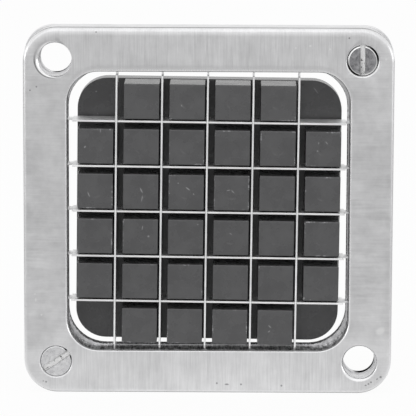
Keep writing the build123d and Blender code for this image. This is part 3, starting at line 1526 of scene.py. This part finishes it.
    def rear_ring(self, skins: list[bpy.types.Material]) -> None:
        """Makes the rear ring: flat, with plain stud holes and two tapped ones.

        Args:
            skins: Its linished, its as-cast and its reamed material.
        """
        seam, rear = self.measures.seam_depth, self.measures.rear_depth
        half, offset = self.measures.frame_half, self.measures.hole_offset
        work = Workpiece()
        tapped_radius = self.shank_radius + self.tapped_clearance
        outer = work.rounded_square(
            half, half, self.rear_corner_radius, seam, steps=self.corner_steps
        )
        opening = work.rounded_square(
            self.rear_opening_half, self.rear_opening_half, self.rear_opening_radius, seam,
            self.rear_opening_x, self.rear_opening_z, steps=self.opening_steps,
        )
        bores = [
            work.circle(self.measures.stud_radius, seam, stud.side * offset,
                        -stud.side * offset)
            for stud in self.studs
        ]
        tapped = [work.circle(tapped_radius, seam, x, x) for x in (-offset, offset)]
        work.push(outer, -self.seam_break)
        work.push(opening, self.seam_break)
        work.fill(outer, opening, *bores, *tapped)
        straight = rear - seam - self.seam_break - self.rear_break
        rims = []
        for contour, way in ((outer, 1), (opening, -1)):
            work.skin = int(contour is opening)
            contour = work.grow(contour, way * self.seam_break, self.seam_break)
            contour = work.grow(contour, 0.0, straight)
            rims.append(work.grow(contour, -way * self.rear_break, self.rear_break))
        work.skin = 2
        for stud, bore in zip(self.studs, bores):
            for depth in (self.shade_start, rear - seam - self.rear_break - self.shade_start):
                bore = work.grow(bore, 0.0, depth)
                # Painted shade along one side of the bore.
                work.mark(bore, work.painted_shade, lambda way, stud=stud: nearness(
                    way, (stud.shaded_side,), stud.shade_reach, self.shade_fullness
                ))
            rims.append(work.grow(bore, self.rear_break, self.rear_break))
        for contour in tapped:
            contour = work.grow(contour, 0.0, rear - seam - self.rear_break)
            rims.append(work.grow(contour, self.rear_break, self.rear_break))
        work.skin = 0
        work.fill(*rims)
        work.finish(
            "rear_ring_casting", self.measures.square_placing(), Body.FRAME,
            "frame_aluminium", skins, "rear_ring",
        )

    def blades(self, steel: bpy.types.Material) -> None:
        """Dresses the blades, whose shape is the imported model's own.

        Args:
            steel: Their material.
        """
        for name, blade in frame["nodes"].items():
            if "_blade_" not in name:
                continue
            blade.data.materials.clear()
            blade.data.materials.append(steel)
            blade.modifiers.new("joined_facets", "WELD").merge_threshold = LEVEL * MM
            edge = blade.modifiers.new("deburred_edges", "BEVEL")
            edge.width = self.blade_edge_round * MM
            edge.segments = self.blade_edge_steps
            edge.limit_method = "ANGLE"
            edge.angle_limit = math.radians(self.blade_edge_angle)
            log.info("%s: dressed", name)

    def screw(self, head: ScrewHead, slot: bpy.types.Material) -> None:
        """Makes one slotted cheese-head screw.

        Args:
            head: The screw's place, sizes and tones.
            slot: The material inside its slot.
        """
        x = z = head.side * self.measures.hole_offset
        steel = TurnedSteel(f"turned_steel_{head.node}", x, z, head.pale, head.dull).make()
        floor = self.head_inset + self.slot_depth
        end = self.measures.rear_depth - self.shank_inset
        half = self.slot_width / 2
        work = Workpiece()
        bmesh.ops.create_circle(
            work.mesh, cap_ends=True, segments=self.head_points, radius=head.radius,
            matrix=Matrix.Translation((0.0, floor, 0.0)) @ Matrix.Rotation(math.pi / 2, 4, "X"),
        )
        for side in (-1, 1):
            bmesh.ops.bisect_plane(
                work.mesh, geom=work.mesh.verts[:] + work.mesh.edges[:] + work.mesh.faces[:],
                dist=TOUCH, plane_co=(0.0, floor, side * half), plane_no=(0.0, 0.0, 1.0),
            )
        tops = [face for face in work.mesh.faces if abs(face.calc_center_median().z) > half]
        contour = Contour([edge for edge in work.mesh.edges if edge.is_boundary])
        contour = work.grow(contour, 0.0, self.recess_depth - floor)
        contour = work.grow(contour, self.shank_radius - head.radius)
        contour = work.grow(contour, 0.0, end - self.recess_depth - self.shank_chamfer)
        work.fill(work.grow(contour, -self.shank_chamfer, self.shank_chamfer))
        made = bmesh.ops.extrude_face_region(work.mesh, geom=tops)["geom"]
        raised = {item for item in made if isinstance(item, bmesh.types.BMVert)}
        bmesh.ops.translate(work.mesh, vec=(0.0, -self.slot_depth, 0.0), verts=list(raised))
        bmesh.ops.delete(work.mesh, geom=[f for f in tops if f.is_valid], context="FACES")
        rims = [edge for edge in work.mesh.edges if raised.issuperset(edge.verts)]
        for straight, width in ((False, head.edge), (True, self.slot_burr)):
            bmesh.ops.bevel(
                work.mesh,
                geom=[
                    edge for edge in rims if edge.is_valid
                    and straight == all(abs(abs(v.co.z) - half) < LEVEL for v in edge.verts)
                ],
                offset=width, offset_type="OFFSET", segments=self.head_edge_steps,
                profile=0.5, affect="EDGES", material=-1,
            )
            rims = [
                edge for edge in work.mesh.edges
                if all(abs(vert.co.y - self.head_inset) < LEVEL for vert in edge.verts)
            ]
        turn = Matrix.Rotation(-math.radians(head.slot_angle), 4, "Y")
        for vert in work.mesh.verts:
            depth, away = vert.co.y - self.head_inset, vert.co.xz.length
            at_rim = away > head.radius - self.head_shade_width * head.edge and depth < floor
            on_burr = (
                abs(abs(vert.co.z) - half) < LEVEL and away < head.radius
                and depth < self.slot_burr + LEVEL
            )
            # The head's rim is brightened as wear and painted highlight; painted shade lies
            # along the slot's burrs and in the gap at the rim.
            vert[work.polish] = head.shine * (LEVEL < depth < head.edge + LEVEL)
            vert[work.painted_shade] = max(
                head.slot_shade_line * on_burr,
                at_rim * nearness(turn @ vert.co, head.shaded_sides, head.shade_reach,
                                  self.head_shade_fullness),
            )
        for face in work.mesh.faces:
            middle = face.calc_center_median()
            in_slot = abs(middle.z) < half + LEVEL and middle.length < head.radius
            face.material_index = int(
                in_slot and self.head_inset + self.slot_burr < middle.y < floor + LEVEL
            )
        placing = self.measures.square_placing() @ Matrix.Translation((x, 0.0, z)) @ turn
        work.finish(
            f"{head.node}_slotted", placing, Body.FRAME, "screw_steel", [steel, slot],
            head.node,
        )


@dataclass
class PushBlock:
    """The moulded block with its fingers and threaded inserts; lengths in millimetres."""

    measures: Measures
    finger_side: float = 9.85
    finger_length: float = 11.6
    finger_draft: float = 0.4
    finger_corner: float = 0.3
    finger_corner_steps: int = 3
    fingertip_round: float = 0.22
    fingertip_steps: int = 3
    side_points: int = 5
    plate_corner: float = 8.5
    plate_corner_steps: int = 12
    plate_margin: float = 0.12
    plate_front_edge: float = 0.08
    plate_rear_edge: float = 0.35
    plate_rear_steps: int = 4
    ejector_radius: float = 2.0
    ejector_sink: float = 0.05
    ejector_slope: float = 0.12
    socket_depth: float = 8.0
    socket_points: int = 48
    insert_radius: float = 3.5
    insert_clearance: float = 0.03
    insert_break: float = 0.15
    insert_points: int = 40
    thread_depth: float = 0.4
    thread_pitch: float = 0.8
    plastic: MouldedPolyamide = field(default_factory=MouldedPolyamide)

    def build(self) -> None:
        """Makes the block and its inserts."""
        tip_y = self.measures.front_y + self.measures.fingertip_depth
        self.block(self.plastic.make(tip_y, tip_y + self.finger_length))
        brass = MACHINED_BRASS.make()
        offset = self.measures.insert_offset
        places = [(x, z) for z in (offset, -offset) for x in (-offset, offset)]
        for number, (x, z) in enumerate(places, start=1):
            self.insert(f"block_insert_{number}", x, z, brass)

    def finger_places(self) -> list[tuple[float, float]]:
        """Places the fingers: one in each cell but the four corner ones.

        Returns:
            Their middles across and up.
        """
        cells = self.measures.blade_count + 1
        ends = (0, cells - 1)
        return [
            ((column - ends[1] / 2) * self.measures.cut_pitch,
             (row - ends[1] / 2) * self.measures.cut_pitch)
            for column in range(cells)
            for row in range(cells)
            if not (column in ends and row in ends)
        ]

    def plate_place(self) -> tuple[float, float, float]:
        """The plate's middle and half side in the block's own directions.

        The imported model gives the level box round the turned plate; the plate's own side
        follows from the turn and the radius of the corners.

        Returns:
            The middle across and up, and half the side.
        """
        low, high = self.measures.plate_low, self.measures.plate_high
        turn = self.measures.grid_turn
        middle = (low + high) / 2
        away = Matrix.Rotation(-turn, 3, "Y") @ Vector(
            (middle.x - self.measures.block_x, 0.0, middle.z - self.measures.block_z)
        )
        core_turned = math.cos(turn) + math.sin(turn)
        reach = (high.x - low.x) / 2
        half = (reach - self.plate_corner) / core_turned + self.plate_corner
        return away.x, away.z, half

    def block(self, plastic: bpy.types.Material) -> None:
        """Makes the plate with its fingers and insert sockets as one moulding.

        Args:
            plastic: Its material.
        """
        root_depth = self.measures.fingertip_depth + self.finger_length
        rear = self.measures.plate_rear_depth
        root_half = self.finger_side / 2 + self.finger_length * math.tan(
            math.radians(self.finger_draft)
        )
        x, z, half = self.plate_place()
        work = Workpiece()
        half += self.plate_margin
        plate = work.rounded_square(
            half, half, self.plate_corner, root_depth, x, z, self.plate_corner_steps
        )
        work.push(plate, -self.plate_front_edge)
        fingers = [self.finger_outline(work, root_half, root_depth, *place)
                   for place in self.finger_places()]
        work.fill(plate, *fingers)
        plate = work.grow(plate, self.plate_front_edge, self.plate_front_edge)
        edges = self.plate_front_edge + self.plate_rear_edge
        plate = work.grow(plate, 0.0, rear - root_depth - edges)
        plate = work.round_in(plate, self.plate_rear_edge, self.plate_rear_steps)
        offset = self.measures.insert_offset
        sockets = [
            work.circle(self.insert_radius + self.insert_clearance, rear, x, z,
                        self.socket_points)
            for x in (-offset, offset) for z in (-offset, offset)
        ]
        work.fill(plate, *sockets)
        for socket in sockets:
            work.fill(work.grow(socket, 0.0, -self.socket_depth))
        for finger in fingers:
            self.finger(work, finger, root_half)
        work.finish(
            "push_block_moulding", self.measures.block_placing(), Body.BLOCK,
            "block_plastic", [plastic], "push_block",
        )

    def finger_outline(self, work: Workpiece, half: float, depth: float, x: float,
                       z: float) -> Contour:
        """Draws a finger's outline with points along its sides.

        Args:
            work: The moulding.
            half: Half the finger's side.
            depth: Depth of the outline.
            x: Its middle across.
            z: Its middle up.

        Returns:
            The contour.
        """
        spacing = 2 * half / (self.side_points + 1)
        cuts = [
            (Vector((x, depth, z)) + way * (spacing * (number + 1) - half), way)
            for way in (Vector((1, 0, 0)), Vector((0, 0, 1)))
            for number in range(self.side_points)
        ]
        return work.rounded_square(
            half, half, self.finger_corner, depth, x, z, self.finger_corner_steps, cuts
        )

    def finger(self, work: Workpiece, root: Contour, root_half: float) -> None:
        """Draws one finger out of the plate, with the ejector pin's mark on its end.

        Args:
            work: The moulding.
            root: The finger's outline on the plate.
            root_half: Half the finger's side there.
        """
        straight = self.finger_length - self.fingertip_round
        tip = work.grow(root, self.finger_side / 2 - root_half, -straight)
        tip = work.round_in(tip, self.fingertip_round, self.fingertip_steps, side=-1, shine=1.0)
        # The core has to be smaller than the rounded end, or its points don't move inwards.
        tip.core -= 2 * self.fingertip_round
        tip = work.grow(tip, -self.fingertip_round)
        mark = work.settle(tip, tip.x, tip.z, self.ejector_radius)
        work.fill(work.grow(mark, -self.ejector_slope, self.ejector_sink))

    def insert(self, name: str, x: float, z: float, brass: bpy.types.Material) -> None:
        """Makes one threaded insert.

        Args:
            name: The CAD node that it stands for.
            x: Its axis across, in the block's own directions.
            z: Its axis up.
            brass: Its material.
        """
        rear = self.measures.plate_rear_depth
        front = rear - self.socket_depth
        bore, crest = self.measures.insert_bore, self.measures.insert_bore + self.thread_depth
        break_edge = self.insert_break
        turns = int(self.socket_depth / self.thread_pitch) - 1
        profile = [
            (crest, rear), (self.insert_radius - break_edge, rear),
            (self.insert_radius, rear - break_edge), (self.insert_radius, front + break_edge),
            (self.insert_radius - break_edge, front), (crest, front),
        ]
        start = front + (self.socket_depth - turns * self.thread_pitch) / 2
        for turn in range(turns):
            profile += [
                (bore, start + turn * self.thread_pitch),
                (crest, start + (turn + 0.5) * self.thread_pitch),
            ]
        profile.append((bore, start + turns * self.thread_pitch))
        work = Workpiece()
        work.spin(profile, self.insert_points)
        placing = self.measures.block_placing() @ Matrix.Translation((x, 0.0, z))
        work.finish(f"{name}_threaded", placing, Body.BLOCK, "insert_brass", [brass], name)


# ------------------------------------------------------------------------------- studio


def from_front(azimuth: float, elevation: float) -> Vector:
    """Tells the way from the frame's middle to a place in front of it.

    Args:
        azimuth: Degrees to the right of straight in front.
        elevation: Degrees above level.

    Returns:
        A unit vector.
    """
    azimuth, elevation = math.radians(azimuth), math.radians(elevation)
    return Vector((
        math.sin(azimuth) * math.cos(elevation),
        -math.cos(azimuth) * math.cos(elevation),
        math.sin(elevation),
    ))


@dataclass(frozen=True)
class Softbox:
    """An oblong soft lamp that looks at the middle of the frame.

    Attributes:
        name: The lamp's name.
        azimuth: Degrees to the right of straight in front.
        elevation: Degrees above level.
        distance: Metres from the frame's middle.
        width: Its width in metres.
        height: Its height in metres.
        power: Its power in watts.
    """

    name: str
    azimuth: float
    elevation: float
    distance: float
    width: float
    height: float
    power: float

    def hang(self) -> None:
        """Puts the lamp up."""
        data = bpy.data.lights.new(self.name, "AREA")
        data.shape, data.size, data.size_y = "RECTANGLE", self.width, self.height
        data.energy = self.power
        lamp = add_object(self.name, data)
        way = from_front(self.azimuth, self.elevation)
        facing = way.to_track_quat("Z", "Y").to_matrix().to_4x4()
        lamp.matrix_world = Matrix.Translation(way * self.distance) @ facing


@dataclass
class Studio:
    """White sweep, soft lamps and the camera; the camera's lengths in millimetres."""

    azimuth: float = 0.4
    elevation: float = 9.377
    roll: float = 0.2
    distance: float = 913.75
    target: tuple[float, float, float] = (-0.088, -5.0, 0.383)
    focal_length: float = 281.7
    sensor: float = 36.0
    sight: float = 20000.0
    ambient: float = 0.75
    floor_white: float = 0.94
    floor_side: float = 6.0
    paper_tone: float = 0.9
    # A painted pool of light on the floor, seen in the metal: brightest near the head, dimmer
    # farther out.
    pool_start: float = 20.0
    pool_end: float = 200.0
    pool_outside: float = 0.55
    softboxes: tuple[Softbox, ...] = (
        Softbox("top_softbox", 0.0, 72.0, 1.0, 1.2, 0.9, 0.9),
        Softbox("left_softbox", -70.0, 5.0, 1.0, 0.35, 0.5, 0.95),
        Softbox("right_softbox", 70.0, 5.0, 1.0, 0.35, 0.5, 0.95),
        Softbox("front_softbox", -4.0, 26.0, 1.5, 1.8, 1.1, 2.0),
    )

    def set_up(self) -> None:
        """Builds the whole studio."""
        bpy.context.scene.view_settings.view_transform = "Standard"
        self.white_world()
        self.floor()
        for softbox in self.softboxes:
            softbox.hang()
        self.camera()

    def white_world(self) -> None:
        """Makes the surroundings white to the eye and in metal, dimmer as a light."""
        world = bpy.data.worlds.new("white_surroundings")
        bpy.context.scene.world = world
        tree = empty_tree(world)
        strength = add_node(
            tree, "ShaderNodeMapRange",
            {"Value": self.seen_plainly(tree), "To Min": self.ambient, "To Max": 1.0},
        )
        light = add_node(
            tree, "ShaderNodeBackground", {"Color": (1, 1, 1, 1), "Strength": strength}
        )
        add_node(tree, "ShaderNodeOutputWorld", {"Surface": light.outputs["Background"]})

    def seen_plainly(self, tree: bpy.types.NodeTree) -> bpy.types.Node:
        """Tells what the eye, metal and glass see, which is one, from other light, nought.

        Args:
            tree: The tree of a material or of the world.

        Returns:
            One or nought.
        """
        rays = add_node(tree, "ShaderNodeLightPath").outputs
        seen = add_node(
            tree, "ShaderNodeMath", {0: rays["Is Camera Ray"], 1: rays["Is Glossy Ray"]},
            operation="MAXIMUM",
        )
        return add_node(
            tree, "ShaderNodeMath", {0: seen, 1: rays["Is Transmission Ray"]},
            operation="MAXIMUM",
        )

    def floor(self) -> None:
        """Lays the white floor that the head stands on; it keeps a faint shadow."""
        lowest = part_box("front_ring")[0].z
        work = bmesh.new()
        bmesh.ops.create_grid(
            work, x_segments=1, y_segments=1, size=self.floor_side / 2,
            matrix=Matrix.Translation((0.0, 0.0, lowest)),
        )
        data = bpy.data.meshes.new("studio_floor")
        work.to_mesh(data)
        work.free()
        floor = add_object("studio_floor", data)
        material = bpy.data.materials.new("white_paper_sweep")
        tree = empty_tree(material)
        paper = add_node(
            tree, "ShaderNodeBsdfDiffuse", {"Color": (*[self.paper_tone] * 3, 1.0)}
        )
        place = add_node(tree, "ShaderNodeTexCoord").outputs["Object"]
        away = add_node(
            tree, "ShaderNodeVectorMath", {0: place}, operation="LENGTH"
        ).outputs["Value"]
        # Painted pool of light: brighter near the head and seen only in reflections; to the eye
        # the floor stays white.
        pool = add_node(
            tree, "ShaderNodeMapRange",
            {"Value": away, "From Min": self.pool_start * MM, "From Max": self.pool_end * MM,
             "To Min": 1.0, "To Max": self.pool_outside},
            interpolation_type="SMOOTHSTEP",
        )
        rays = add_node(tree, "ShaderNodeLightPath").outputs
        strength = add_node(
            tree, "ShaderNodeMath", {0: pool, 1: rays["Is Camera Ray"]}, operation="MAXIMUM"
        )
        white = add_node(
            tree, "ShaderNodeEmission", {"Color": (1, 1, 1, 1), "Strength": strength}
        )
        share = add_node(
            tree, "ShaderNodeMath", {0: self.seen_plainly(tree), 1: self.floor_white},
            operation="MULTIPLY",
        )
        mixed = add_node(tree, "ShaderNodeMixShader", {0: share, 1: paper, 2: white})
        add_node(tree, "ShaderNodeOutputMaterial", {"Surface": mixed.outputs["Shader"]})
        data.materials.append(material)

    def camera(self) -> None:
        """Places the camera a little above the frame's middle, looking straight at it."""
        azimuth, roll = math.radians(self.azimuth), math.radians(self.roll)
        back = from_front(self.azimuth, self.elevation)
        level = Vector((math.cos(azimuth), math.sin(azimuth), 0.0))
        upright = back.cross(level)
        right = level * math.cos(roll) + upright * math.sin(roll)
        up = upright * math.cos(roll) - level * math.sin(roll)
        place = (Vector(self.target) + back * self.distance) * MM
        data = bpy.data.cameras.new("studio_camera")
        data.lens, data.sensor_width = self.focal_length, self.sensor
        data.clip_end = self.sight * MM
        camera = add_object("studio_camera", data)
        turn = Matrix((right, up, back)).transposed().to_4x4()
        camera.matrix_world = Matrix.Translation(place) @ turn
        bpy.context.scene.camera = camera


def main() -> None:
    """Builds the studio and the head."""
    logging.basicConfig(level=logging.INFO, format="%(name)s: %(message)s")
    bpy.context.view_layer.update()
    measures = Measures.of_frame()
    Studio().set_up()
    BladeFrame(measures).build()
    PushBlock(measures).build()
    bpy.context.view_layer.update()


if __name__ == "__main__":
    main()
